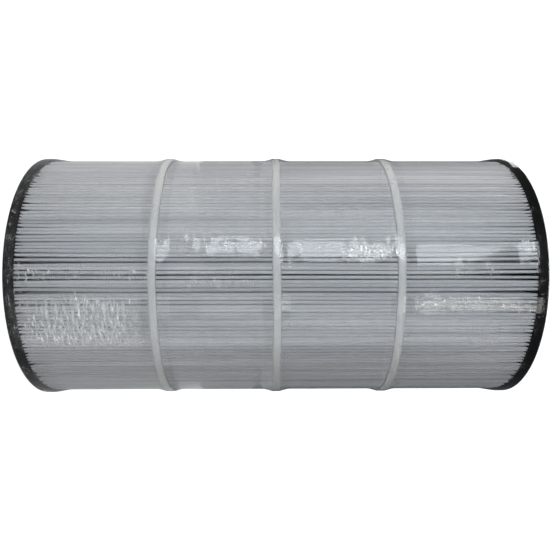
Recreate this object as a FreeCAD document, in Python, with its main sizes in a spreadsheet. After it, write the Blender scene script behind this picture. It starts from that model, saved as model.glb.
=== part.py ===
"""Pleated filter cartridge for a pool or spa filter tank, in millimetres.

The cartridge stands on its lower sealing lip with its axis along +Z, and its origin is the centre
of that lip. A pleated polyester sheet surrounds a core of four plugged cage sections. The ends of
the sheet and of the core are set in two cast urethane end caps, and three bands hold the pleats
from outside. A shrunk film sleeve covers the whole and leaves both bores open.
"""

import FreeCAD, Part
import math
import os
import Sketcher
from FreeCAD import Placement, Rotation, Vector

# alias, value in millimetres or a count, what it is
DIMENSIONS = [
    ("overall_length", 441.3, "over both sealing lips, 17 3/8 in"),
    ("cap_diameter", 227.0, "end cap, 8 15/16 in"),
    ("bore_diameter", 101.6, "opening in each end cap, 4 in"),
    ("lip_height", 1.6, "sealing lip above the cap's face"),
    ("lip_width", 9.0, "radial width of the sealing lip"),
    ("cap_depth", 8.2, "cap's outer face to its inner face"),
    ("cap_floor", 3.0, "urethane beyond the ends of the pleats and the core"),
    ("rim_fillet", 1.8, "rounding of the rim at the outer face"),
    ("rim_edge_fillet", 1.2, "rounding of the rim at the inner face"),
    ("bore_chamfer", 0.6, "lead-in at the mouth of the bore"),
    ("mark_diameter", 6.0, "stand-off marks in the cap's face"),
    ("mark_depth", 0.9, "depth of a stand-off mark"),
    ("mark_circle", 138.0, "pitch circle of the stand-off marks"),
    ("mark_count", 12, "stand-off marks in each cap"),
    ("media_diameter", 222.6, "over the pleat tips"),
    ("media_bore", 110.0, "inside the pleat roots"),
    ("pleat_count", 210, "pleats around the core"),
    ("sheet_thickness", 0.6, "spunbond sheet"),
    ("tip_fold", 1.0, "mid-sheet radius of an outer fold"),
    ("root_fold", 0.42, "mid-sheet radius of an inner fold"),
    ("seam_root_thickness", 0.2, "bonded side seam at its inner edge"),
    ("seam_tip_thickness", 0.5, "bonded side seam at its outer edge"),
    ("seam_margin", 5.0, "side seam to the pleat roots and tips"),
    ("core_diameter", 109.6, "outside of the core"),
    ("core_wall", 2.5, "thickness of the core"),
    ("core_sections", 4, "cage sections plugged end to end"),
    ("spigot_wall", 1.2, "thickness of the spigot"),
    ("window_width", 8.4, "flow window across the axis"),
    ("window_height", 9.4, "flow window along the axis"),
    ("window_columns", 24, "flow windows around a section"),
    ("window_rows", 7, "flow windows along a section"),
    ("window_pitch", 13.2, "row to row"),
    ("window_margin", 9.6, "section's lower end to its first window"),
    ("window_reach", 1.3, "cutter past each side of the core's wall"),
    ("band_width", 7.0, "outer band along the axis"),
    ("band_thickness", 2.1, "outer band across the pleat tips"),
    ("band_fillet", 1.0, "rounding of the band's outer corners"),
    ("band_spacing", 100.5, "band to band"),
    ("contact_gap", 0.05, "radial gap between round surfaces that touch"),
    ("film_thickness", 0.3, "shrink film, thickened to a solid"),
    ("film_opening", 152.0, "round opening at each end of the film"),
    ("cap_tent", 14.0, "film's run from a cap's rim down to the pleats"),
    ("band_tent", 9.0, "film's run from a band down to the pleats"),
]

SHEET = "Dimensions"
BANDS = {"band_lower": -1, "band_middle": 0, "band_upper": 1}

# Formulas in the aliases, for sizes that several sub-parts share
GRIP = "( cap_depth - cap_floor )"
EMBEDDED_END = "( lip_height + cap_floor )"
CAP_INNER_FACE = "( lip_height + cap_depth )"
SECTION_LENGTH = f"( ( overall_length - 2 * {EMBEDDED_END} ) / core_sections )"
CORE_INNER = "( core_diameter / 2 - core_wall )"
CORE_OUTER = "( core_diameter / 2 )"
SPIGOT_OUTER = f"( {CORE_INNER} + spigot_wall )"
SOCKET_INNER = f"( {SPIGOT_OUTER} + contact_gap )"


def make_sheet(doc):
    """The spreadsheet of driving dimensions, each value under its alias."""
    sheet = doc.addObject("Spreadsheet::Sheet", SHEET)
    for row, (alias, value, note) in enumerate(DIMENSIONS, start=1):
        sheet.set(f"A{row}", alias)
        sheet.set(f"B{row}", str(value))
        sheet.set(f"C{row}", note)
        sheet.setAlias(f"B{row}", alias)
    doc.recompute()
    return sheet


def cells(formula):
    """A formula in aliases as an expression that reads the spreadsheet."""
    return " ".join(f"{SHEET}.{word}" if word[0].isalpha() else word for word in formula.split())


def bind(feature, **formulas):
    """Binds properties of a feature to formulas in aliases."""
    for name, formula in formulas.items():
        feature.setExpression(name, cells(formula))


def lift(feature, formula):
    """Binds how far a sub-part stands above the origin."""
    feature.setExpression("Placement.Base.z", cells(formula))


def near(a, b):
    return abs(a - b) < 1e-4


def make_body(doc, label):
    body = doc.addObject("PartDesign::Body", label)
    body.Label = label
    return body


def origin_item(body, role):
    """One of a body's own origin planes or axes."""
    return next(item for item in body.Origin.OriginFeatures if item.Role == role)


def new_sketch(body, name, role):
    sketch = body.newObject("Sketcher::SketchObject", name)
    sketch.AttachmentSupport = [(origin_item(body, role), "")]
    sketch.MapMode = "FlatFace"
    return sketch


def set_size(sketch, name, constraint, formula):
    """Adds a constraint whose value follows a formula."""
    index = sketch.addConstraint(constraint)
    sketch.renameConstraint(index, name)
    sketch.setExpression(f"Constraints.{name}", cells(formula))


def close_polygon(sketch, corners):
    """A closed chain of straight lines whose corners can still be moved."""
    count = len(corners)
    for i in range(count):
        sketch.addGeometry(Part.LineSegment(corners[i], corners[(i + 1) % count]), False)
    for i in range(count):
        sketch.addConstraint(Sketcher.Constraint("Coincident", i, 2, (i + 1) % count, 1))


def revolve(body, name, points):
    """Turns a closed outline about the body's axis. A point is two formulas: radius and height."""
    sketch = new_sketch(body, name + "_outline", "XZ_Plane")
    turn = 2 * math.pi / len(points)
    corners = [Vector(10 + math.cos(i * turn), 10 + math.sin(i * turn), 0) for i in range(len(points))]
    close_polygon(sketch, corners)
    for i, (radius, height) in enumerate(points):
        set_size(sketch, f"radius{i}", Sketcher.Constraint("DistanceX", -1, 1, i, 1, 10.0), radius)
        if height == "0":
            sketch.addConstraint(Sketcher.Constraint("PointOnObject", i, 1, -1))
        else:
            set_size(sketch, f"height{i}", Sketcher.Constraint("DistanceY", -1, 1, i, 1, 10.0), height)
    turned = body.newObject("PartDesign::Revolution", name)
    turned.Profile = sketch
    turned.ReferenceAxis = (sketch, ["V_Axis"])
    turned.Angle = 360
    return turned


def round_edges(doc, body, name, kind, size, wanted):
    """Fillets or chamfers the circular edges that wanted(radius, height) picks."""
    doc.recompute()
    base = body.Tip
    edges = []
    for number, edge in enumerate(base.Shape.Edges, start=1):
        if isinstance(edge.Curve, Part.Circle) and wanted(edge.Curve.Radius, edge.Curve.Center.z):
            edges.append(f"Edge{number}")
    feature = body.newObject(f"PartDesign::{kind}", name)
    feature.Base = (base, edges)
    bind(feature, **size)


def copy_body(doc, original, label):
    """Another sub-part of the same shape as an earlier body."""
    body = make_body(doc, label)
    base = body.newObject("PartDesign::FeatureBase", label + "_shape")
    base.BaseFeature = original
    body.Tip = base
    return body


def make_pleat_skin(sheet, offset):
    """One face of the pleated sheet as a closed wire, at an offset outwards from mid-sheet."""
    count = int(sheet.get("pleat_count"))
    half_sheet = sheet.get("sheet_thickness") / 2
    tip_fold = sheet.get("tip_fold")
    root_fold = sheet.get("root_fold")
    tip_centre = Vector(sheet.get("media_diameter") / 2 - tip_fold - half_sheet, 0, 0)
    root_centre = Vector(sheet.get("media_bore") / 2 + root_fold + half_sheet, 0, 0)
    step = 2 * math.pi / count

    def turned(vector, angle):
        return Rotation(Vector(0, 0, 1), math.degrees(angle)).multVec(vector)

    # A flank is the inner common tangent of a tip's fold and of the next root's fold.
    span = turned(root_centre, step / 2) - tip_centre
    lean = math.acos((tip_fold + root_fold) / span.Length)
    leaving = turned(span.normalize(), -lean)
    arriving = Vector(leaving.x, -leaving.y, 0)
    tip_radius = tip_fold + offset
    root_radius = root_fold - offset

    edges = []
    for k in range(count):
        here, root, following = k * step, (k + 0.5) * step, (k + 1) * step
        crest = turned(tip_centre, here)
        hollow = turned(root_centre, root)
        tip_start = crest + turned(arriving, here) * tip_radius
        tip_top = crest + turned(Vector(tip_radius, 0, 0), here)
        tip_end = crest + turned(leaving, here) * tip_radius
        root_start = hollow - turned(leaving, here) * root_radius
        root_bottom = hollow - turned(Vector(root_radius, 0, 0), root)
        root_end = hollow - turned(arriving, following) * root_radius
        next_tip = turned(tip_centre, following) + turned(arriving, following) * tip_radius
        edges.append(Part.Arc(tip_start, tip_top, tip_end).toShape())
        edges.append(Part.LineSegment(tip_end, root_start).toShape())
        edges.append(Part.Arc(root_start, root_bottom, root_end).toShape())
        edges.append(Part.LineSegment(root_end, next_tip).toShape())
    return Part.Wire(edges)


def make_pleated_media(doc, sheet):
    """The pleated sheet, one closed zigzag of even thickness along the axis."""
    half_sheet = sheet.get("sheet_thickness") / 2
    outer = make_pleat_skin(sheet, half_sheet)
    inner = make_pleat_skin(sheet, -half_sheet)
    inner.reverse()
    start = sheet.get("lip_height") + sheet.get("cap_floor")
    length = sheet.get("overall_length") - 2 * start
    media = doc.addObject("Part::Feature", "pleated_media")
    media.Label = "pleated_media"
    media.Shape = Part.Face([outer, inner]).extrude(Vector(0, 0, length))
    media.Placement = Placement(Vector(0, 0, start), Rotation())
    return media


def make_side_seam(doc, sheet):
    """The bond that closes the sheet into a ring, a thin wedge between two pleats."""
    seam = doc.addObject("Part::Wedge", "side_seam")
    seam.Label = "side_seam"
    start = f"{CAP_INNER_FACE} + contact_gap"
    end = f"overall_length - {CAP_INNER_FACE} - contact_gap"
    bind(
        seam,
        Xmin="0 - seam_root_thickness / 2",
        Xmax="seam_root_thickness / 2",
        X2min="0 - seam_tip_thickness / 2",
        X2max="seam_tip_thickness / 2",
        Ymin="media_bore / 2 + seam_margin",
        Ymax="media_diameter / 2 - seam_margin",
        Zmin=start,
        Zmax=end,
        Z2min=start,
        Z2max=end,
    )
    # The wedge is drawn along +Y, and the first outer valley is half a pleat round from +X.
    first_valley = 180 / sheet.get("pleat_count") - 90
    seam.Placement = Placement(Vector(), Rotation(Vector(0, 0, 1), first_valley))
    return seam


def make_cap_blank(doc, sheet, label, groove_inner, groove_outer):
    """An end cap before the pleats are set in it, with a groove that the core's end fills."""
    body = make_body(doc, label + "_blank")
    bore = "bore_diameter / 2"
    lip = "bore_diameter / 2 + lip_width"
    rim = "cap_diameter / 2"
    points = [
        (bore, "0"),
        (lip, "0"),
        (lip, "lip_height"),
        (rim, "lip_height"),
        (rim, CAP_INNER_FACE),
        (groove_outer, CAP_INNER_FACE),
        (groove_outer, EMBEDDED_END),
        (groove_inner, EMBEDDED_END),
        (groove_inner, CAP_INNER_FACE),
        (bore, CAP_INNER_FACE),
    ]
    revolve(body, "disc", points)
    bore_radius = sheet.get("bore_diameter") / 2
    lip_radius = bore_radius + sheet.get("lip_width")
    rim_radius = sheet.get("cap_diameter") / 2
    outer_face = sheet.get("lip_height")
    inner_face = outer_face + sheet.get("cap_depth")
    round_edges(
        doc, body, "rim_rounding", "Fillet", {"Radius": "rim_fillet"},
        lambda radius, height: near(radius, rim_radius) and near(height, outer_face),
    )
    round_edges(
        doc, body, "rim_edge_rounding", "Fillet", {"Radius": "rim_edge_fillet"},
        lambda radius, height: near(radius, rim_radius) and near(height, inner_face),
    )
    round_edges(
        doc, body, "lip_chamfer", "Chamfer", {"Size": "bore_chamfer"},
        lambda radius, height: near(height, 0) and (near(radius, bore_radius) or near(radius, lip_radius)),
    )
    add_stand_off_marks(doc, body)
    return body


def add_stand_off_marks(doc, body):
    """Shallow round marks in the cap's face, left by the pins that held the pleats off the mould."""
    sketch = new_sketch(body, "mark_outline", "XY_Plane")
    sketch.addGeometry(Part.Circle(Vector(70, 0, 0), Vector(0, 0, 1), 3.0), False)
    sketch.addConstraint(Sketcher.Constraint("PointOnObject", 0, 3, -1))
    set_size(sketch, "place", Sketcher.Constraint("DistanceX", -1, 1, 0, 3, 70.0), "mark_circle / 2")
    set_size(sketch, "size", Sketcher.Constraint("Radius", 0, 3.0), "mark_diameter / 2")
    doc.recompute()
    before = body.Tip.Shape.Volume
    mark = body.newObject("PartDesign::Pocket", "mark")
    mark.Profile = sketch
    mark.Reversed = True
    bind(mark, Length="lip_height + mark_depth")
    ring = body.newObject("PartDesign::PolarPattern", "mark_ring")
    ring.Originals = [mark]
    ring.Axis = (origin_item(body, "Z_Axis"), [""])
    ring.Angle = 360
    bind(ring, Occurrences="mark_count")
    body.Tip = ring
    doc.recompute()
    if body.Shape.Volume >= before:
        raise RuntimeError(f"{body.Label}: the stand-off marks cut nothing")


def set_pleats_in(doc, label, blank, media):
    """The finished cap: the urethane that is left around the ends of the pleats."""
    cap = doc.addObject("Part::Cut", label)
    cap.Base, cap.Tool = blank, media
    cap.Label = label
    return cap


def make_core_section(doc, label):
    """A moulded cage section: a tube with a socket below, a spigot above and rows of windows."""
    body = make_body(doc, label)
    shoulder = f"{SECTION_LENGTH} - {GRIP}"
    points = [
        (SOCKET_INNER, "0"),
        (CORE_OUTER, "0"),
        (CORE_OUTER, shoulder),
        (SPIGOT_OUTER, shoulder),
        (SPIGOT_OUTER, SECTION_LENGTH),
        (CORE_INNER, SECTION_LENGTH),
        (CORE_INNER, GRIP),
        (SOCKET_INNER, GRIP),
    ]
    revolve(body, "tube", points)
    doc.recompute()
    tube_volume = body.Tip.Shape.Volume

    sketch = new_sketch(body, "window_outline", "XZ_Plane")
    sketch.setExpression("AttachmentOffset.Base.z", cells(f"{CORE_INNER} - window_reach"))
    close_polygon(sketch, [Vector(-4, 10, 0), Vector(4, 10, 0), Vector(4, 20, 0), Vector(-4, 20, 0)])
    for side, direction in enumerate(("Horizontal", "Vertical", "Horizontal", "Vertical")):
        sketch.addConstraint(Sketcher.Constraint(direction, side))
    set_size(sketch, "right", Sketcher.Constraint("DistanceX", -1, 1, 1, 1, 4.0), "window_width / 2")
    set_size(sketch, "width", Sketcher.Constraint("DistanceX", 0, 1, 0, 2, 8.0), "window_width")
    set_size(sketch, "margin", Sketcher.Constraint("DistanceY", -1, 1, 0, 1, 10.0), "window_margin")
    set_size(sketch, "height", Sketcher.Constraint("DistanceY", 1, 1, 1, 2, 10.0), "window_height")
    window = body.newObject("PartDesign::Pocket", "window")
    window.Profile = sketch
    window.Reversed = True
    bind(window, Length="core_wall + 2 * window_reach")
    rows = body.newObject("PartDesign::LinearPattern", "window_rows")
    rows.Direction = (origin_item(body, "Z_Axis"), [""])
    bind(rows, Length="window_pitch * ( window_rows - 1 )", Occurrences="window_rows")
    columns = body.newObject("PartDesign::PolarPattern", "window_columns")
    columns.Axis = (origin_item(body, "Z_Axis"), [""])
    columns.Angle = 360
    bind(columns, Occurrences="window_columns")
    cage = body.newObject("PartDesign::MultiTransform", "windows")
    cage.Originals = [window]
    cage.Transformations = [rows, columns]
    body.Tip = cage
    doc.recompute()
    if body.Shape.Volume >= 0.8 * tube_volume:
        raise RuntimeError(f"{label}: the windows cut too little")
    return body


def make_core(doc, sheet):
    """The stack of sections. A section's spigot sits in the socket of the one above it."""
    first = make_core_section(doc, "core_section_1")
    sections = [first]
    for number in range(2, int(sheet.get("core_sections")) + 1):
        sections.append(copy_body(doc, first, f"core_section_{number}"))
    for index, section in enumerate(sections):
        lift(section, f"{EMBEDDED_END} + {index} * {SECTION_LENGTH}")
    return sections


def make_bands(doc, sheet):
    """Three straps around the pleat tips with rounded outer corners."""
    inner = "media_diameter / 2 + contact_gap"
    outer = f"{inner} + band_thickness"
    outer_radius = (
        sheet.get("media_diameter") / 2 + sheet.get("contact_gap") + sheet.get("band_thickness")
    )
    bands = []
    for label, place in BANDS.items():
        if bands:
            body = copy_body(doc, bands[0], label)
        else:
            body = make_body(doc, label)
            points = [(inner, "0"), (outer, "0"), (outer, "band_width"), (inner, "band_width")]
            revolve(body, "strap", points)
            round_edges(
                doc, body, "strap_rounding", "Fillet", {"Radius": "band_fillet"},
                lambda radius, height: near(radius, outer_radius),
            )
        lift(body, f"overall_length / 2 - band_width / 2 + {place} * band_spacing")
        bands.append(body)
    return bands


def make_shrink_film(doc, sheet):
    """The shrunk sleeve: taut over the caps and bands, down on the pleats between them."""
    body = make_body(doc, "shrink_film")
    opening = "film_opening / 2"
    face = "lip_height - contact_gap"
    cap = "cap_diameter / 2 + contact_gap"
    media = "media_diameter / 2 + contact_gap"
    band = f"{media} + band_thickness + contact_gap"
    tent = f"{CAP_INNER_FACE} + cap_tent"
    wall = [(cap, CAP_INNER_FACE), (media, tent)]
    for place in sorted(BANDS.values()):
        middle = f"overall_length / 2 + {place} * band_spacing"
        wall += [
            (media, f"{middle} - band_width / 2 - band_tent"),
            (band, f"{middle} - band_width / 2"),
            (band, f"{middle} + band_width / 2"),
            (media, f"{middle} + band_width / 2 + band_tent"),
        ]
    wall += [(media, f"overall_length - ( {tent} )"), (cap, f"overall_length - {CAP_INNER_FACE}")]

    def side(thickness):
        """One side of the film from the lower opening to the upper one."""
        low = f"{face} - {thickness}"
        high = f"overall_length - ( {low} )"
        raised = [(f"{radius} + {thickness}", height) for radius, height in wall]
        rim = f"{cap} + {thickness}"
        return [(opening, low), (rim, low), *raised, (rim, high), (opening, high)]

    revolve(body, "sleeve", side("0") + side("film_thickness")[::-1])
    length = sheet.get("overall_length")
    gap = sheet.get("contact_gap")
    for name, thickness, fillet in (
        ("inner_corners", 0, "rim_fillet + contact_gap"),
        ("outer_corners", sheet.get("film_thickness"), "rim_fillet + contact_gap + film_thickness"),
    ):
        corner_radius = sheet.get("cap_diameter") / 2 + gap + thickness
        corner_height = sheet.get("lip_height") - gap - thickness
        round_edges(
            doc, body, name, "Fillet", {"Radius": fillet},
            lambda radius, height: near(radius, corner_radius)
            and (near(height, corner_height) or near(height, length - corner_height)),
        )
    return body


def check(doc, parts):
    """Stops if an object didn't build or a sub-part isn't a sound solid."""
    for item in doc.Objects:
        if "Invalid" in item.State or "Error" in item.State:
            raise RuntimeError(f"{item.Label} didn't build: {item.State}")
    for part in parts:
        if part.Shape.isNull() or not part.Shape.isValid() or len(part.Shape.Solids) != 1:
            raise RuntimeError(f"{part.Label} isn't one valid solid")


def export(parts):
    os.makedirs("parts", exist_ok=True)
    for part in parts:
        part.Shape.exportStep(f"parts/{part.Label}.step")
        print(f"{part.Label}: {part.Shape.Volume / 1000:.1f} cm3")


def main():
    doc = FreeCAD.newDocument("filter_cartridge")
    sheet = make_sheet(doc)
    media = make_pleated_media(doc, sheet)

    # The lower cap grips the inside of a socket, and the upper cap grips a spigot.
    bottom = make_cap_blank(
        doc, sheet, "bottom_end_cap", f"{SOCKET_INNER} - contact_gap", f"{CORE_OUTER} + contact_gap"
    )
    top = make_cap_blank(
        doc, sheet, "top_end_cap", f"{CORE_INNER} - contact_gap", f"{SPIGOT_OUTER} + contact_gap"
    )
    top.Placement = Placement(Vector(), Rotation(Vector(1, 0, 0), 180))
    lift(top, "overall_length")

    parts = [
        set_pleats_in(doc, "bottom_end_cap", bottom, media),
        set_pleats_in(doc, "top_end_cap", top, media),
        media,
        make_side_seam(doc, sheet),
        *make_core(doc, sheet),
        *make_bands(doc, sheet),
        make_shrink_film(doc, sheet),
    ]
    doc.recompute()
    check(doc, parts)
    export(parts)


main()
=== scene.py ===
"""Looks of a pleated filter cartridge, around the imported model. Metres, +Z along the cartridge."""
import math

import bpy
import numpy as np
from mathutils import Matrix, Vector


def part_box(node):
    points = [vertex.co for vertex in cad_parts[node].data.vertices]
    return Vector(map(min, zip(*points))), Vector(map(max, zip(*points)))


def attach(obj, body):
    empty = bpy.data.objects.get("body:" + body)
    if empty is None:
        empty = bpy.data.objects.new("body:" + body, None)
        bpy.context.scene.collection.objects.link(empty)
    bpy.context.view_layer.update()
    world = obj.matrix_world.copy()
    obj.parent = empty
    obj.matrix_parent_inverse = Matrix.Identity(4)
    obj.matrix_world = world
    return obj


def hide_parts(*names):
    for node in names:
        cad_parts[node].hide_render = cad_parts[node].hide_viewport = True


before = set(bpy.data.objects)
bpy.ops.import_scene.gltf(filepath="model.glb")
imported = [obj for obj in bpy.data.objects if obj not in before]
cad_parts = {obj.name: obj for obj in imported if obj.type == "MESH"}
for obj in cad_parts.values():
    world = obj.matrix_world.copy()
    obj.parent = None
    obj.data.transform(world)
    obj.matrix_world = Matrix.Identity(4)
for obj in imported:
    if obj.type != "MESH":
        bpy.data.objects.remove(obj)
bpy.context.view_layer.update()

MM = 0.001
BODY = "root"
rng = np.random.RandomState(7)  # the only source of random numbers

# ---------------------------------------------------------------- sizes read from the frame

bottom_low, bottom_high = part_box("bottom_end_cap")
top_low, top_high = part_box("top_end_cap")
media_low, media_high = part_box("pleated_media")
core_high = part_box("core_section_1")[1]
film_low, film_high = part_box("shrink_film")

CAP_RADIUS = bottom_high.x
TIP_RADIUS = media_high.x
ROOT_RADIUS = core_high.x + 0.2 * MM
MEDIA_START, MEDIA_END = media_low.z, media_high.z
LOWER_FACE, UPPER_FACE = bottom_high.z, top_low.z
MIDDLE = (bottom_low.z + top_high.z) / 2
BANDS = {name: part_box(name) for name in ("band_lower", "band_middle", "band_upper")}

# ---------------------------------------------------------------- sizes of the loose detail

PLEATS = 210
STEP = 2 * math.pi / PLEATS
SHEET_ROWS = 47                 # divisions of the sheet along the axis
NEAR_ROOT = 0.86                # how far down a flank, from tip to root, its extra point is

# Outline of a tip from one side to the other: sideways and outward, in tip half widths.
TIP_OUTLINE = [
    (-1.0, -0.9), (-1.0, 0.55), (-0.86, 0.93), (0.0, 1.0), (0.86, 0.93), (1.0, 0.55), (1.0, -0.9),
]
TIP_SKIN = 1.49 * MM            # half the width of a pleat's tip
TIP_CENTRES = TIP_RADIUS - TIP_SKIN
CALM_SWELL = 0.075              # how much fuller the tips are where the pleats lie evenly
PLUMPNESS_SPREAD = 0.05         # how much the tips differ in width

RUFFLED_AT = (2, 122, -131)     # middles of the ruffled stretches, degrees round from the front
RUFFLED_REACH = 25              # degrees from such a middle to where the pleats calm down
LEAST_GAP = 0.12                # share of the spare width that goes evenly to all the gaps
GAP_WAVER = 0.24                # how much a gap's width wavers along the pleats
DRIFT_REACH = 17                # pleats each side within which tips drift from their roots
PINCHED_SKIN = 1.16 * MM        # a tip's half width where the caps hold the pleats apart
PINCH_RUN = 34 * MM             # how far from a cap the tips are narrower
PINCH_REACH = 3                 # pleats each side that share the width a pinch frees
TIP_SINK = 0.30 * MM            # about how deep the tips of ruffled pleats lie under the film
TIP_WANDER = 0.20 * MM          # about how much that changes along a pleat
DEEPEST_TIP = 1.2 * MM

WICKING_SUNK = 0.4 * MM         # how far the wicking reaches into the cap
WICKING_DEPTH = 16 * MM         # how far it reaches in from the tips
WICKING_CREST = 0.35            # its width at the top, as a share of its width at the foot

FILM_COLUMNS = 400
FILM_ROWS = 200
FILM_GAP = 0.25 * MM            # between the film and what it is shrunk onto
WALL_MARGIN = 4.2 * MM          # from the cartridge's ends to where the film's wall starts
FILM_OPENING = 76 * MM          # radius of the opening in each folded end
FILM_CORNER = 1.9 * MM          # radius of the fold round a cap's rim
FOLD_INSET = 0.05 * MM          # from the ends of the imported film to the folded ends
FOLD_ROWS = 6                   # rows of points from the opening to that corner
BOTTOM_FOLD_CRINKLE = 0.08      # how crinkled the folded ends are, from 0 to 1, which also sets their white flecks, partly crease whitening and partly painted glints
TOP_FOLD_CRINKLE = 0.04
CAP_TENT = 14 * MM              # how far from a cap the film comes down onto the pleats
BAND_TENT = 9 * MM              # the same from a band


def smooth(t):
    """Eases from 0 to 1 as t does, and stays flat outside."""
    t = np.clip(t, 0, 1)
    return t * t * (3 - 2 * t)


def value_noise(columns, rows, column_cells, row_cells):
    """Smooth noise of about unit spread, on a grid that closes on itself around the columns."""
    grid = rng.normal(size=(column_cells, row_cells + 1))
    u = np.arange(columns) * column_cells / columns
    v = np.linspace(0, row_cells, rows)
    u0 = u.astype(int)
    v0 = np.minimum(v.astype(int), row_cells - 1)
    fu = smooth(u - u0)[:, None]
    fv = smooth(v - v0)[None, :]
    u1 = (u0 + 1) % column_cells
    low = grid[u0][:, v0] * (1 - fu) + grid[u1][:, v0] * fu
    high = grid[u0][:, v0 + 1] * (1 - fu) + grid[u1][:, v0 + 1] * fu
    return low * (1 - fv) + high * fv


# ---------------------------------------------------------------- materials

def new_material(name):
    """A node material: the material, its tree and its Principled shader."""
    material = bpy.data.materials.new(name)
    material.use_nodes = True
    return material, material.node_tree, material.node_tree.nodes["Principled BSDF"]


def add(tree, kind, links=None, **values):
    """A node with its inputs set: values for numbers and colours, links for other nodes' outputs."""
    node = tree.nodes.new(kind)
    for name, value in values.items():
        if hasattr(node, name):
            setattr(node, name, value)
        else:
            node.inputs[name.replace("_", " ")].default_value = value
    for name, output in (links or {}).items():
        tree.links.new(output, node.inputs[name])
    return node


def stretched(tree, along, across):
    """Object coordinates scaled on their own along the axis and across it, for longer cells."""
    place = add(tree, "ShaderNodeTexCoord")
    return add(
        tree, "ShaderNodeMapping", {"Vector": place.outputs["Object"]}, Scale=(across, across, along)
    ).outputs["Vector"]


def ramp(tree, factor, stops):
    """A colour ramp. A stop is a place from 0 to 1 and a grey or a colour."""
    node = add(tree, "ShaderNodeValToRGB", {"Fac": factor})
    elements = node.color_ramp.elements
    while len(elements) < len(stops):
        elements.new(0.5)
    for element, (place, colour) in zip(elements, stops):
        element.position = place
        element.color = (*colour, 1) if hasattr(colour, "__len__") else (colour, colour, colour, 1)
    return node.outputs["Color"]


def bump(tree, height, strength, distance):
    """A surface direction that follows a height."""
    return add(
        tree, "ShaderNodeBump", {"Height": height}, Strength=strength, Distance=distance
    ).outputs["Normal"]


def spunbond_material():
    """Bonded polyester fibres: fine streaks, faint blotches and a soft sheen."""
    material, tree, shader = new_material("spunbond_polyester")
    fibres = add(
        tree, "ShaderNodeTexNoise", {"Vector": stretched(tree, along=50, across=900)},
        Detail=6.0, Roughness=0.7,
    )
    blotches = add(
        tree, "ShaderNodeTexNoise", {"Vector": stretched(tree, along=0.5, across=32)},
        Detail=1.0, Roughness=0.5,
    )
    grey, white = (0.61, 0.622, 0.65), (0.78, 0.785, 0.805)
    light = ramp(tree, blotches.outputs["Fac"], [(0.36, grey), (0.64, white)])
    dark = ramp(tree, fibres.outputs["Fac"], [(0.3, 0.88), (0.65, 1.0)])
    mixed = add(tree, "ShaderNodeMix", data_type="RGBA", blend_type="MULTIPLY")
    mixed.inputs["Factor"].default_value = 1.0
    tree.links.new(light, mixed.inputs[6])
    tree.links.new(dark, mixed.inputs[7])
    tree.links.new(mixed.outputs[2], shader.inputs["Base Color"])
    tree.links.new(bump(tree, fibres.outputs["Fac"], 0.35, 0.0003), shader.inputs["Normal"])
    shader.inputs["Roughness"].default_value = 0.72
    shader.inputs["Specular IOR Level"].default_value = 0.3
    shader.inputs["Sheen Weight"].default_value = 0.1
    shader.inputs["Sheen Roughness"].default_value = 0.5
    return material


def urethane_material():
    """Cast black urethane: satin, faintly mottled, with fine pits."""
    material, tree, shader = new_material("cast_urethane")
    mottle = add(
        tree, "ShaderNodeTexNoise", {"Vector": stretched(tree, along=140, across=140)},
        Detail=5.0, Roughness=0.65,
    )
    pits = add(
        tree, "ShaderNodeTexNoise", {"Vector": stretched(tree, along=900, across=900)}, Detail=3.0
    )
    colour = ramp(tree, mottle.outputs["Fac"], [(0.35, 0.002), (0.7, 0.006)])
    rough = ramp(tree, mottle.outputs["Fac"], [(0.3, 0.34), (0.7, 0.56)])
    tree.links.new(colour, shader.inputs["Base Color"])
    tree.links.new(rough, shader.inputs["Roughness"])
    tree.links.new(bump(tree, pits.outputs["Fac"], 0.25, 0.0002), shader.inputs["Normal"])
    shader.inputs["Specular IOR Level"].default_value = 0.12
    return material


def band_material():
    """Milky extruded plastic, slightly uneven along its length."""
    material, tree, shader = new_material("milky_plastic")
    cloud = add(
        tree, "ShaderNodeTexNoise", {"Vector": stretched(tree, along=120, across=45)},
        Detail=4.0, Roughness=0.55,
    )
    colour = ramp(tree, cloud.outputs["Fac"], [(0.3, (0.70, 0.71, 0.715)), (0.75, (0.80, 0.805, 0.80))])
    tree.links.new(colour, shader.inputs["Base Color"])
    tree.links.new(bump(tree, cloud.outputs["Fac"], 0.3, 0.0005), shader.inputs["Normal"])
    shader.inputs["Roughness"].default_value = 0.42
    shader.inputs["Subsurface Weight"].default_value = 0.25
    shader.inputs["Subsurface Radius"].default_value = (0.004, 0.004, 0.004)
    shader.inputs["Subsurface Scale"].default_value = 0.5
    return material


def core_material():
    """Moulded white plastic with flow marks."""
    material, tree, shader = new_material("moulded_core_plastic")
    flow = add(
        tree, "ShaderNodeTexNoise", {"Vector": stretched(tree, along=25, across=90)}, Detail=4.0
    )
    grain = add(
        tree, "ShaderNodeTexNoise", {"Vector": stretched(tree, along=1500, across=1500)}, Detail=2.0
    )
    colour = ramp(tree, flow.outputs["Fac"], [(0.3, (0.66, 0.66, 0.64)), (0.7, (0.78, 0.78, 0.76))])
    rough = ramp(tree, grain.outputs["Fac"], [(0.3, 0.38), (0.7, 0.55)])
    tree.links.new(colour, shader.inputs["Base Color"])
    tree.links.new(rough, shader.inputs["Roughness"])
    tree.links.new(bump(tree, grain.outputs["Fac"], 0.12, 0.0001), shader.inputs["Normal"])
    return material


def adhesive_material():
    """Cured hot-melt in the side seam."""
    material, tree, shader = new_material("cured_adhesive")
    lumps = add(
        tree, "ShaderNodeTexNoise", {"Vector": stretched(tree, along=200, across=400)}, Detail=3.0
    )
    colour = ramp(tree, lumps.outputs["Fac"], [(0.3, (0.55, 0.53, 0.46)), (0.7, (0.68, 0.66, 0.6))])
    tree.links.new(colour, shader.inputs["Base Color"])
    tree.links.new(bump(tree, lumps.outputs["Fac"], 0.4, 0.0004), shader.inputs["Normal"])
    shader.inputs["Roughness"].default_value = 0.3
    return material


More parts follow.
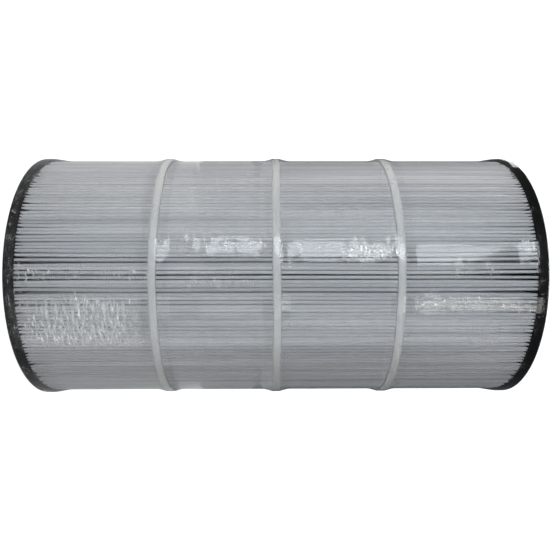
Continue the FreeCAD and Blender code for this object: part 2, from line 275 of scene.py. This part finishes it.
def film_material():
    """Clear shrink film: a glossy skin over what lies beneath, white where it is crinkled, partly crease
    whitening and partly painted glints, with painted milky highlights in patches.
    """
    material, tree, shader = new_material("clear_shrink_film")
    # This white is that of whitened creases, of painted glints and of painted milky highlights.
    shader.inputs["Base Color"].default_value = (0.97, 0.97, 0.965, 1)
    shader.inputs["Roughness"].default_value = 0.07
    shader.inputs["IOR"].default_value = 1.5
    shader.inputs["Specular IOR Level"].default_value = 0.9
    unrolled = add(tree, "ShaderNodeUVMap", uv_map="unrolled").outputs["UV"]

    def cells(around_cells, along_cells):
        """Places on the unrolled film in cells, of which a metre holds the given numbers."""
        return add(
            tree, "ShaderNodeMapping", {"Vector": unrolled}, Scale=(around_cells, along_cells, 1)
        ).outputs[0]

    def texture(around_cells, along_cells, detail, roughness):
        return add(
            tree, "ShaderNodeTexNoise", {"Vector": cells(around_cells, along_cells)},
            Scale=1.0, Detail=detail, Roughness=roughness,
        ).outputs["Fac"]

    def combine(operation, first, second):
        return add(
            tree, "ShaderNodeMath", {0: first, 1: second},
            operation=operation, use_clamp=operation == "ADD",
        ).outputs[0]

    # Pleats felt through the film, fine creases, white flecks that are partly crease whitening and partly
    # painted glints, and milky strokes that are painted highlights.
    ribs = texture(290, 9, 2.0, 0.5)
    creases = texture(330, 190, 5.0, 0.62)
    flecks = texture(180, 560, 2.5, 0.6)
    strokes = texture(110, 420, 4.0, 0.6)
    edges = add(
        tree, "ShaderNodeTexVoronoi", {"Vector": cells(260, 330)},
        feature="DISTANCE_TO_EDGE", voronoi_dimensions="2D", Scale=1.0, Randomness=1.0,
    ).outputs["Distance"]
    # How crinkled the film is: it sets the bumps, and also white flecks that are partly crease whitening
    # and partly painted glints.
    crinkle_and_glint = add(tree, "ShaderNodeAttribute", attribute_name="crinkle_and_glint").outputs["Fac"]
    # Where the film has painted milky highlights, from 0 to 1.
    painted_glint = add(tree, "ShaderNodeAttribute", attribute_name="painted_glint").outputs["Fac"]
    height = combine("ADD", ribs, combine("MULTIPLY", creases, crinkle_and_glint))
    normal = bump(tree, height, 0.16, 0.0009)
    tree.links.new(normal, shader.inputs["Normal"])
    reflecting = add(tree, "ShaderNodeFresnel", {"Normal": normal}, IOR=1.5).outputs[0]
    outlines = ramp(tree, edges, [(0.03, 1.0), (0.12, 0.0)])
    # White flecks along crease outlines and in spots: partly crease whitening, partly painted glints.
    lines = combine("MULTIPLY", outlines, ramp(tree, flecks, [(0.45, 0.0), (0.58, 0.7)]))
    spots = ramp(tree, flecks, [(0.58, 0.0), (0.66, 0.75)])
    whitened_and_glinting = combine("MULTIPLY", combine("ADD", lines, spots), crinkle_and_glint)
    # Milky white strokes: a painted highlight.
    painted_glint_white = combine("MULTIPLY", ramp(tree, strokes, [(0.41, 0.12), (0.59, 1.0)]), painted_glint)

    # The skin hides what lies beneath as far as it reflects, has white flecks, which are partly crease
    # whitening and partly painted glints, or has painted milky highlights. The share of that which
    # reflects is a mirror, and the rest is painted white.
    cover = combine("ADD", reflecting, combine("ADD", whitened_and_glinting, painted_glint_white))
    tree.links.new(combine("DIVIDE", reflecting, cover), shader.inputs["Metallic"])
    clear = add(tree, "ShaderNodeBsdfTransparent")
    both = add(tree, "ShaderNodeMixShader", {0: cover})
    tree.links.new(clear.outputs[0], both.inputs[1])
    tree.links.new(shader.outputs[0], both.inputs[2])
    tree.links.new(both.outputs[0], tree.nodes["Material Output"].inputs["Surface"])
    return material


def brighter_to_camera(tree, light, seen):
    """A strength that is one number as a light and another as seen by the camera."""
    path = add(tree, "ShaderNodeLightPath")
    strength = add(tree, "ShaderNodeMapRange", {"Value": path.outputs["Is Camera Ray"]})
    strength.inputs["To Min"].default_value = light
    strength.inputs["To Max"].default_value = seen
    return strength.outputs["Result"]


def floor_material():
    """A white lit table, bright enough to leave no horizon."""
    material, tree, shader = new_material("white_table")
    speckle = add(tree, "ShaderNodeTexNoise", {"Vector": stretched(tree, along=3, across=3)})
    colour = ramp(tree, speckle.outputs["Fac"], [(0.3, 0.78), (0.7, 0.8)])
    tree.links.new(colour, shader.inputs["Base Color"])
    shader.inputs["Roughness"].default_value = 0.8
    shader.inputs["Emission Color"].default_value = (1, 1, 1, 1)
    tree.links.new(brighter_to_camera(tree, 0.05, 0.95), shader.inputs["Emission Strength"])
    return material


# ---------------------------------------------------------------- mesh helpers

def make_piece(name, points, faces, material, replaced=()):
    """A smooth mesh piece that rides with the part and stands for the nodes it replaces."""
    mesh = bpy.data.meshes.new(name)
    mesh.from_pydata([tuple(p) for p in points], [], faces)
    mesh.validate()
    mesh.polygons.foreach_set("use_smooth", [True] * len(mesh.polygons))
    mesh.materials.append(material)
    piece = bpy.data.objects.new(name, mesh)
    bpy.context.scene.collection.objects.link(piece)
    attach(piece, BODY)
    if replaced:
        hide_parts(*replaced)
    return piece


def grid_faces(columns, rows):
    """Quads of a grid that closes on itself around the columns. Point (c, r) is c * rows + r."""
    faces = []
    for c in range(columns):
        d = (c + 1) % columns
        for r in range(rows - 1):
            faces.append((c * rows + r, d * rows + r, d * rows + r + 1, c * rows + r + 1))
    return faces


# ---------------------------------------------------------------- the pleated sheet

def around(angle):
    """Degrees round from the front, towards -X, as an angle about the axis."""
    return math.radians(270 - angle)


def unevenness():
    """How unevenly each pleat lies, from 0 to 1: ruffled stretches with calm ones between."""
    reach = math.radians(RUFFLED_REACH)
    places = np.arange(PLEATS) * STEP
    uneven = np.zeros(PLEATS)
    for middle in RUFFLED_AT:
        away = (places - around(middle) + math.pi) % (2 * math.pi) - math.pi
        uneven = np.maximum(uneven, np.exp(-(away / reach) ** 4))
    return uneven


def neighbours_mean(values, reach):
    """The mean over the pleats up to reach away on each side."""
    return sum(np.roll(values, shift, axis=0) for shift in range(-reach, reach + 1)) / (2 * reach + 1)


def gap_shares(uneven):
    """Each pleat's share of the spare width, a few of them much larger than the rest."""
    lowest, highest = -2, 1.45
    return (0.8 + 0.3 * uneven) * np.exp(np.clip(rng.normal(size=PLEATS), lowest, highest))


def tip_depths(uneven):
    """How deep each pleat's tip lies under the film, by pleat and by row."""
    ruffle = (0.30 + 0.70 * uneven)[:, None]
    depths = TIP_SINK * ruffle * np.abs(rng.normal(size=PLEATS))[:, None]
    wander = value_noise(PLEATS, SHEET_ROWS + 1, PLEATS // 2, 9)
    depths = depths + TIP_WANDER * ruffle * np.abs(wander)
    return np.clip(depths, 0, DEEPEST_TIP)


def pleat_layout():
    """Each pleat's angle, depth under the film and half width of tip, by pleat and by row."""
    uneven = unevenness()
    circumference = 2 * math.pi * TIP_CENTRES

    # The tips are narrower near the caps, and further from them where the pleats are ruffled.
    full = TIP_SKIN * (1 + CALM_SWELL * (1 - uneven))[:, None]
    from_cap = np.minimum(row_heights - LOWER_FACE, UPPER_FACE - row_heights)
    run = PINCH_RUN * (0.7 + 1.5 * uneven)[:, None]
    pinch = (TIP_SKIN - PINCHED_SKIN) * (1 - smooth(from_cap[None, :] / run))

    # What the tips leave of the circumference is shared out unevenly, and what a pinch frees goes
    # to the pleats close by, so that the pleats run straight into the caps.
    shares = gap_shares(uneven)
    spare = circumference / PLEATS - 2 * full
    along = 1 + GAP_WAVER * value_noise(PLEATS, SHEET_ROWS + 1, PLEATS // 2, 4)
    gaps = shares[:, None] * np.clip(along, 0.25, None)
    gaps = LEAST_GAP * spare + (1 - LEAST_GAP) * spare * gaps / gaps.mean(axis=0)
    freed = 2 * pinch * (shares / neighbours_mean(shares, PINCH_REACH))[:, None]
    places = np.cumsum(2 * (full - pinch) + gaps + freed, axis=0)
    places *= circumference / places[-1]

    # No pleat's tip drifts far from its root.
    drift = places - (np.arange(PLEATS) * circumference / PLEATS)[:, None]
    angles = (places - neighbours_mean(drift, DRIFT_REACH)) / TIP_CENTRES
    angles -= (angles - (np.arange(PLEATS) * STEP)[:, None]).mean()
    return angles, tip_depths(uneven), full - pinch


row_heights = np.linspace(MEDIA_START, MEDIA_END, SHEET_ROWS + 1)
angles, depths, skins = pleat_layout()


def make_pleated_sheet():
    """One continuous folded sheet: ten points a pleat, around the whole cartridge."""
    plumpness = 1 + PLUMPNESS_SPREAD * rng.normal(size=PLEATS)

    def root_point(angle):
        return ROOT_RADIUS * math.cos(angle), ROOT_RADIUS * math.sin(angle)

    def flank(end, root_angle):
        """The extra point on the way from a tip's end to the root."""
        return tuple(e + (r - e) * NEAR_ROOT for e, r in zip(end, root_point(root_angle)))

    points = []
    for k in range(PLEATS):
        skin = skins[k] * plumpness[k]
        radial = TIP_RADIUS - TIP_SKIN - depths[k]
        root_before = (k - 0.5) * STEP
        root_after = (k + 0.5) * STEP
        tip = []
        for sideways, outward in TIP_OUTLINE:
            reach = radial + TIP_SKIN * outward
            aside = skin * sideways
            x = reach * np.cos(angles[k]) - aside * np.sin(angles[k])
            y = reach * np.sin(angles[k]) + aside * np.cos(angles[k])
            tip.append((x, y))
        root_line = tuple(np.full(len(row_heights), part) for part in root_point(root_before))
        for x, y in [root_line, flank(tip[0], root_before), *tip, flank(tip[-1], root_after)]:
            points.extend(zip(x, y, row_heights))
    columns = PLEATS * (len(TIP_OUTLINE) + 3)
    piece = make_piece(
        "pleated_sheet", points, grid_faces(columns, len(row_heights)), spunbond_material(),
        ["pleated_media"],
    )
    return piece


def valley(k, row):
    """The angle in the middle of the valley after pleat k, and the valley's width at the tips."""
    here = angles[k, row]
    following = angles[(k + 1) % PLEATS, row] + (2 * math.pi if k == PLEATS - 1 else 0)
    return (here + following) / 2, (following - here) * TIP_CENTRES - 2 * skins[k, row]


def wicking_rise(width):
    """How high urethane is drawn up a valley of the given width, now and then much higher."""
    widest = 2.2
    rise = (0.5 + 2.6 * rng.rand() + 2.4 * min(width / MM, widest)) * MM
    if rng.rand() < 0.20:
        rise += 6 * MM * rng.rand()
    return rise


def make_wicking(name, face, row, direction, material):
    """Urethane drawn up between the pleats at one end, higher where a valley is wide."""
    points, faces = [], []
    for k in range(PLEATS):
        middle, width = valley(k, row)
        rise = wicking_rise(width)
        lap = 0.35 * MM
        half_outer = (width / 2 + lap) / TIP_RADIUS
        outer = TIP_RADIUS + (0.1 + 0.5 * rng.rand()) * MM
        start = len(points)

        # Three upright outlines from the inside out: radius, half width at the foot, and height.
        for radius, half, top in (
            (TIP_RADIUS - WICKING_DEPTH, half_outer * 0.6, rise * 1.3),
            (TIP_RADIUS - 2.2 * MM, half_outer * 0.8, rise),
            (outer, half_outer, rise * 0.35),
        ):
            for side in (-1, 1):
                for lift, spread in ((-WICKING_SUNK, half), (top, half * WICKING_CREST)):
                    angle = middle + side * spread
                    height = face + direction * lift
                    points.append((radius * math.cos(angle), radius * math.sin(angle), height))
        for a in (start, start + 4):
            faces += [
                (a, a + 4, a + 5, a + 1),
                (a + 3, a + 7, a + 6, a + 2),
                (a + 1, a + 5, a + 7, a + 3),
                (a + 2, a + 6, a + 4, a),
            ]
        faces.append((start, start + 1, start + 3, start + 2))
        faces.append((start + 10, start + 11, start + 9, start + 8))
    if direction < 0:
        faces = [corners[::-1] for corners in faces]
    return make_piece(name, points, faces, material)


def make_seam_bond(material):
    """The side seam's bond, a thin strip down the middle of the first valley."""
    clear = 5 * MM
    root_angle = 0.5 * STEP
    rows = [r for r in range(SHEET_ROWS + 1) if LOWER_FACE < row_heights[r] < UPPER_FACE]
    points, faces = [], []
    for r in rows:
        tip_angle = valley(0, r)[0]
        for radius, half in ((ROOT_RADIUS + clear, 0.08 * MM), (TIP_RADIUS - clear, 0.2 * MM)):
            share = (radius - ROOT_RADIUS) / (TIP_CENTRES - ROOT_RADIUS)
            angle = root_angle + (tip_angle - root_angle) * share
            for side in (-1, 1):
                turned = angle + side * half / radius
                points.append((radius * math.cos(turned), radius * math.sin(turned), row_heights[r]))
    for i in range(len(rows) - 1):
        a, b = 4 * i, 4 * i + 4
        for first, second in ((0, 1), (1, 3), (3, 2), (2, 0)):
            faces.append((a + first, a + second, b + second, b + first))
    last = 4 * (len(rows) - 1)
    faces += [(2, 3, 1, 0), (last, last + 1, last + 3, last + 2)]
    return make_piece("seam_bond", points, faces, material, ["side_seam"])


# ---------------------------------------------------------------- bands

def strap_section():
    """A band's outline, along the axis in half widths and outward in thicknesses."""
    arc_steps = 12
    squareness = 0.45
    section = []
    for i in range(arc_steps + 1):
        turn = math.pi * i / arc_steps
        section.append((math.cos(turn), max(math.sin(turn), 0.0) ** squareness))
    return section + [(-0.5, 0.0), (0.0, 0.0), (0.5, 0.0)]


def make_strap(node, material):
    """A band with a rounded outside, slightly uneven in width, place and height."""
    low, high = BANDS[node]
    middle = (low.z + high.z) / 2
    half = (high.z - low.z) / 2
    inner = TIP_RADIUS + 0.02 * MM
    thickness = high.x - inner
    columns = 360
    sway = 0.28 * MM * value_noise(columns, 1, 14, 1)[:, 0]
    swell = 1 + 0.035 * value_noise(columns, 1, 40, 1)[:, 0]
    section = strap_section()
    points = []
    for c in range(columns):
        angle = 2 * math.pi * c / columns
        for along, proud in section:
            radius = inner + thickness * proud * min(swell[c], 1.0)
            height = middle + sway[c] + half * along * swell[c]
            points.append((radius * math.cos(angle), radius * math.sin(angle), height))
    count = len(section)
    faces = []
    for c in range(columns):
        d = (c + 1) % columns
        for i in range(count):
            j = (i + 1) % count
            faces.append((c * count + i, c * count + j, d * count + j, d * count + i))
    return make_piece(node.replace("band", "strap"), points, faces, material, [node])


# ---------------------------------------------------------------- shrink film

# Where the film is crinkled and painted with milky highlights: degrees round from the front (towards -X),
# height along the axis in mm, half sizes of the patch in the same units, how many creases it has and how
# strong its painted milky highlight is.
CRINKLE_AND_GLINT_PATCHES = [
    (13, 174, 4.2, 52, 30, 0.10),
    (11, 272, 4, 50, 20, 0.06),
    (9, 300, 3, 26, 12, 0.22),
    (0.5, 64, 1.8, 52, 34, 0.10),
    (-24.5, 56, 7.4, 42, 80, 0.56),
    (-19, 62, 11.0, 46, 10, 0.54),
    (-13, 74, 4.0, 28, 4, 0.60),
    (-26, 27, 3.5, 9, 26, 0.20),
    (-2.5, 165, 1.0, 38, 14, 0.0),
    (-12, 376, 2.6, 52, 34, 0.16),
    (11, 424, 4, 3, 6, 0.10),
    (2.5, 379, 2.4, 20, 9, 0.0),
    (-27, 393, 4.5, 9, 12, 0.05),
    (-9, 344, 2, 6, 6, 0.2),
]

# Kinds of crease: length, width and height in mm, and how crinkled the film is there, which also
# sets white flecks that are partly crease whitening and partly painted glints. Two numbers are a
# range to draw from.
CREASES = {
    "in_patch": ((2, 7), (0.7, 1.3), (0.1, 0.4), (0.4, 1.0)),
    "by_edge": ((2, 6), (0.7, 1.1), (0.05, 0.25), 0.4),
    "on_rim": ((1, 4), (0.5, 1.0), 0.0, (0.3, 0.8)),
    "stray": ((2, 9), (0.7, 1.2), (0.05, 0.2), (0.0, 0.5)),
}


def drawn(span):
    """A number as it is, or one drawn from between two."""
    return rng.uniform(*span) if isinstance(span, tuple) else span


def any_angle():
    return rng.uniform(0, 2 * math.pi)


def film_radius(height):
    """The taut film's radius: over the cap rims and the bands, and down on the pleats between."""
    on_pleats = TIP_RADIUS + FILM_GAP
    on_caps = CAP_RADIUS + FILM_GAP
    radius = np.full_like(height, on_pleats)
    for face, inward in ((LOWER_FACE, 1), (UPPER_FACE, -1)):
        run = (height - face) * inward / CAP_TENT
        radius = np.maximum(radius, on_pleats + (on_caps - on_pleats) * (1 - np.clip(run, 0, 1)))
    for low, high in BANDS.values():
        on_band = high.x + FILM_GAP
        run = (np.abs(height - (low.z + high.z) / 2) - (high.z - low.z) / 2) / BAND_TENT
        stands_off = (on_band - on_pleats) * (1 - np.clip(run, 0, 1)) ** 1.5
        radius = np.maximum(radius, on_pleats + stands_off)
    return radius


def crease_field(theta, height):
    """On the film's grid of points: raised creases, how crinkled the film is, which also sets white
    flecks that are partly painted glints, and how strong the painted milky highlights are.
    """
    raised = np.zeros((len(theta), len(height)))
    crinkle_and_glint_field = np.zeros_like(raised)
    painted_glints = np.zeros_like(raised)

    def from_centre(centre):
        return (theta - centre + math.pi) % (2 * math.pi) - math.pi

    def press(centre, at, turn, kind):
        """One slightly bent crease, turned from the axis by the angle turn."""
        length, width, rise = [drawn(span) * MM for span in CREASES[kind][:3]]
        crinkle_and_glint = drawn(CREASES[kind][3])
        near_theta = from_centre(centre)
        reach = length + 3 * width
        columns = np.where(np.abs(near_theta) * TIP_RADIUS < reach)[0]
        rows = np.where(np.abs(height - at) < reach)[0]
        if len(columns) == 0 or len(rows) == 0:
            return
        across = near_theta[columns][:, None] * TIP_RADIUS
        up = (height[rows] - at)[None, :]
        lengthwise = up * math.cos(turn) + across * math.sin(turn)
        sideways = -up * math.sin(turn) + across * math.cos(turn)
        bend = 0.15 * length * np.sin(lengthwise / length * 2.2)
        shape = np.exp(-((sideways - bend) / width) ** 2) * np.exp(-(lengthwise / length) ** 4)
        block = np.ix_(columns, rows)
        raised[block] = np.maximum(raised[block], rise * shape)
        spread = np.exp(-(sideways / (2.6 * width)) ** 2) * np.exp(-(lengthwise / (1.2 * length)) ** 4)
        crinkle_and_glint_field[block] = np.maximum(crinkle_and_glint_field[block], crinkle_and_glint * spread)

    for round_place, at, half_round, half_up, count, painted_glint_strength in CRINKLE_AND_GLINT_PATCHES:
        for _ in range(count):
            centre = around(round_place + half_round * rng.uniform(-1, 1))
            place = (at + half_up * rng.uniform(-1, 1)) * MM
            runs_along = rng.rand() < 0.35
            turn = rng.normal(0, 0.5) if runs_along else math.pi / 2 + rng.normal(0, 0.4)
            press(centre, place, turn, "in_patch")
        # A milky white patch: a painted highlight where the film would glint.
        across = np.degrees(from_centre(around(round_place)))[:, None] / half_round
        along = (height / MM - at)[None, :] / half_up
        painted_glints = np.maximum(painted_glints, painted_glint_strength * np.exp(-(across ** 4) - along ** 6))

    edges = [LOWER_FACE + 3 * MM, UPPER_FACE - 3 * MM]
    for low, high in BANDS.values():
        edges += [low.z - 4 * MM, high.z + 4 * MM]
    for at in edges:
        for _ in range(30):
            press(any_angle(), at + rng.normal(0, 2.0) * MM, rng.normal(0, 0.25), "by_edge")
    # Crinkle with no height on the bottom cap's rim: bumps, and white flecks that are partly painted
    # glints on the black urethane.
    for _ in range(150):
        press(any_angle(), bottom_low.z + rng.uniform(3, 9) * MM, rng.normal(0, 0.8), "on_rim")
    for _ in range(120):
        press(any_angle(), rng.uniform(LOWER_FACE, UPPER_FACE), rng.normal(0, 0.5), "stray")
    return raised, crinkle_and_glint_field, painted_glints


def film_fold(skin, inward, opening, pucker):
    """Rows at the height skin from the opening out to a cap's rim, and round it: their radii and
    heights. Inward is 1 where the cartridge is above, and -1 where it is below."""
    rim = CAP_RADIUS + FILM_GAP
    made = []
    for i, share in enumerate(np.linspace(0, 1, FOLD_ROWS)):
        radius = opening + (rim - FILM_CORNER - opening) * share
        lift = 0.12 * MM * np.clip(pucker[:, i], -1, 1) * (1 - share)
        made.append((radius, skin - inward * lift))
    for turn in (30, 60, 90):
        radius = rim - FILM_CORNER + FILM_CORNER * math.sin(math.radians(turn))
        height = skin + inward * FILM_CORNER * (1 - math.cos(math.radians(turn)))
        made.append((np.full(FILM_COLUMNS, radius), np.full(FILM_COLUMNS, height)))
    return made


def unroll(mesh, rows):
    """Gives the film flat coordinates in metres, around the pleats and along the axis."""
    unrolled = mesh.uv_layers.new(name="unrolled").data
    run = np.arange(rows) * (film_high.z - film_low.z) / rows
    width = 2 * math.pi * TIP_RADIUS
    for polygon in mesh.polygons:
        corners = [mesh.loops[i].vertex_index for i in polygon.loop_indices]
        wraps = max(corners) // rows == FILM_COLUMNS - 1 and min(corners) // rows == 0
        for i, vertex in zip(polygon.loop_indices, corners):
            column = vertex // rows
            if wraps and column == 0:
                column = FILM_COLUMNS
            unrolled[i].uv = (width * column / FILM_COLUMNS, run[vertex % rows])


def make_film(material):
    """The shrunk sleeve with its crinkles, folded onto both caps around a wavy opening."""
    theta = np.arange(FILM_COLUMNS) * 2 * math.pi / FILM_COLUMNS + math.pi / 2
    wall = np.linspace(bottom_low.z + WALL_MARGIN, top_high.z - WALL_MARGIN, FILM_ROWS)
    raised, crinkle_and_glint_field, painted_glints = crease_field(theta, wall)
    wall_radius = film_radius(wall)[None, :] + raised
    opening = FILM_OPENING + 1.6 * MM * value_noise(FILM_COLUMNS, 1, 26, 1)[:, 0]
    pucker = value_noise(FILM_COLUMNS, 9, 90, 3)
    bottom = film_fold(film_low.z + FOLD_INSET, 1, opening, pucker)
    top = film_fold(film_high.z - FOLD_INSET, -1, opening, pucker)[::-1]
    rows = len(bottom) + FILM_ROWS + len(top)
    points, crinkle_and_glint, painted_glint = [], [], []
    for c in range(FILM_COLUMNS):
        # Each point: radius, height, crinkle (which also sets white flecks, partly painted glints) and
        # painted milky highlight.
        column = [(radius[c], height[c], BOTTOM_FOLD_CRINKLE, 0.0) for radius, height in bottom]
        column += zip(wall_radius[c], wall, crinkle_and_glint_field[c], painted_glints[c])
        column += [(radius[c], height[c], TOP_FOLD_CRINKLE, 0.0) for radius, height in top]
        for radius, height, crinkle_and_glint_here, painted_glint_here in column:
            points.append((radius * math.cos(theta[c]), radius * math.sin(theta[c]), height))
            crinkle_and_glint.append(crinkle_and_glint_here)
            painted_glint.append(painted_glint_here)
    faces = grid_faces(FILM_COLUMNS, rows)
    film = make_piece("film_sleeve", points, faces, material, ["shrink_film"])
    for name, values in (("crinkle_and_glint", crinkle_and_glint), ("painted_glint", painted_glint)):
        film.data.attributes.new(name, "FLOAT", "POINT").data.foreach_set("value", values)
    unroll(film.data, rows)
    return film


# ---------------------------------------------------------------- pieces

urethane = urethane_material()
milky_plastic = band_material()
core_plastic = core_material()


def dress(node, material):
    """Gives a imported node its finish."""
    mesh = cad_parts[node].data
    mesh.materials.clear()
    mesh.materials.append(material)


for node in ("bottom_end_cap", "top_end_cap"):
    dress(node, urethane)
for number in range(1, 5):
    dress(f"core_section_{number}", core_plastic)

make_pleated_sheet()
make_wicking("bottom_wicking", LOWER_FACE, 1, 1, urethane)
make_wicking("top_wicking", UPPER_FACE, SHEET_ROWS - 1, -1, urethane)
make_seam_bond(adhesive_material())
for band in BANDS:
    make_strap(band, milky_plastic)
make_film(film_material())

# ---------------------------------------------------------------- floor, light and camera

SIDEWAYS = Vector((0, 0, 1))    # picture-right runs up the cartridge's axis
AWAY = Vector((0, 1, 0))        # from the camera to the cartridge
UPWARD = SIDEWAYS.cross(AWAY)   # picture-up, which is -X


def make_floor():
    mesh = bpy.data.meshes.new("table_top")
    half, height = 6.0, -0.2 * MM
    corners = [(-half, -half, height), (half, -half, height), (half, half, height), (-half, half, height)]
    mesh.from_pydata(corners, [], [(0, 1, 2, 3)])
    mesh.materials.append(floor_material())
    floor = bpy.data.objects.new("table_top", mesh)
    bpy.context.scene.collection.objects.link(floor)


def make_world():
    """White surroundings that look brighter than the light they give, and darker in the film."""
    world = bpy.data.worlds.new("studio")
    bpy.context.scene.world = world
    world.use_nodes = True
    tree = world.node_tree
    background = tree.nodes["Background"]
    background.inputs["Color"].default_value = (0.93, 0.97, 1, 1)
    light, seen, mirrored = 0.275, 1.2, 0.10
    glossy = add(tree, "ShaderNodeLightPath").outputs["Is Glossy Ray"]
    unmirrored = brighter_to_camera(tree, light, seen)
    strength = add(tree, "ShaderNodeMath", {0: glossy, 2: unmirrored}, operation="MULTIPLY_ADD")
    strength.inputs[1].default_value = mirrored - light
    tree.links.new(strength.outputs[0], background.inputs["Strength"])


def make_light(name, tilt, swing, distance, width, length, power, colour, turn=0):
    """An area light aimed at the cartridge's middle. Tilt is degrees towards picture-up from the
    camera's direction, swing is degrees towards picture-right, and turn is degrees about the aim."""
    data = bpy.data.lights.new(name, "AREA")
    data.shape = "RECTANGLE"
    data.size, data.size_y = width, length
    data.energy = power
    data.color = colour
    light = bpy.data.objects.new(name, data)
    bpy.context.scene.collection.objects.link(light)
    t, s = math.radians(tilt), math.radians(swing)
    direction = (-AWAY * math.cos(t) + UPWARD * math.sin(t)) * math.cos(s) + SIDEWAYS * math.sin(s)
    place = Vector((0, 0, MIDDLE)) + direction * distance
    side = -SIDEWAYS.cross(direction).normalized()
    axes = Matrix((side, direction.cross(side).normalized(), direction)).transposed().to_4x4()
    about_aim = Matrix.Rotation(math.radians(turn), 4, "Z")
    light.matrix_world = Matrix.Translation(place) @ axes @ about_aim
    light.visible_camera = False
    return light


def make_softbox(name, tilt, power, colour, distance=1.3):
    """A large soft light that isn't seen mirrored in the film."""
    light = make_light(name, tilt, 0, distance, 0.6, 1.3, power, colour)
    light.visible_glossy = False


def make_reflection(name, tilt, swing, width, length, brightness, colour, turn=0):
    """A light that is only seen mirrored in the film, of the given radiance."""
    power = brightness * math.pi * width * length
    light = make_light(name, tilt, swing, 1.4, width, length, power, colour, turn)
    light.visible_diffuse = False


def make_camera():
    """A level view from the front, rolled so that the cartridge lies across the picture."""
    lens_over_sensor = 1.0277
    distance = 4.9786 * CAP_RADIUS
    slide = -0.055 * CAP_RADIUS
    pan = -0.010
    roll = 0.0017
    data = bpy.data.cameras.new("camera")
    data.sensor_width = 36.0
    data.lens = data.sensor_width * lens_over_sensor
    camera = bpy.data.objects.new("camera", data)
    bpy.context.scene.collection.objects.link(camera)
    bpy.context.scene.camera = camera
    forward = AWAY * math.cos(pan) - SIDEWAYS * math.sin(pan)
    right = SIDEWAYS * math.cos(pan) + AWAY * math.sin(pan)
    right = (right * math.cos(roll) - UPWARD * math.sin(roll)).normalized()
    up = right.cross(forward)
    place = Vector((0, 0, MIDDLE)) + SIDEWAYS * slide - AWAY * distance
    camera.matrix_world = Matrix.Translation(place) @ Matrix((right, up, -forward)).transposed().to_4x4()


make_floor()
make_world()
make_softbox("front_softbox", tilt=0, power=6.75, colour=(0.88, 0.95, 1.0), distance=1.4)
make_softbox("upper_softbox", tilt=35, power=3.1, colour=(1.0, 1.0, 1.0))
make_softbox("overhead_softbox", tilt=72, power=8.9, colour=(1.0, 0.99, 0.97))
make_softbox("low_softbox", tilt=-50, power=3.5, colour=(1.0, 0.97, 0.95))
make_softbox("back_softbox", tilt=180, power=6.0, colour=(0.97, 0.99, 1.0))
make_softbox("upper_back_softbox", tilt=138, power=3.0, colour=(1.0, 1.0, 1.0))
make_softbox("lower_back_softbox", tilt=-138, power=3.4, colour=(1.0, 1.0, 1.0))
make_reflection(
    "upper_strip", tilt=22.5, swing=7, width=0.41, length=1.0, brightness=5.6,
    colour=(0.90, 0.95, 1.0), turn=-18,
)
make_reflection(
    "lower_strip", tilt=-27, swing=24, width=0.32, length=0.38, brightness=3.4,
    colour=(1.0, 0.97, 0.93),
)
make_reflection(
    "faint_strip", tilt=-29, swing=0, width=0.50, length=0.75, brightness=1.3,
    colour=(0.95, 0.98, 1.0),
)
make_reflection(
    "back_strip", tilt=180, swing=0, width=0.30, length=0.8, brightness=4.0,
    colour=(0.95, 0.98, 1.0),
)
make_reflection(
    "cap_strip", tilt=138, swing=42, width=0.7, length=0.6, brightness=2.5,
    colour=(1.0, 1.0, 1.0),
)
make_reflection(
    "top_strip", tilt=0, swing=87, width=0.7, length=0.7, brightness=3.0,
    colour=(1.0, 1.0, 1.0),
)
make_camera()
bpy.context.scene.view_settings.view_transform = "Standard"
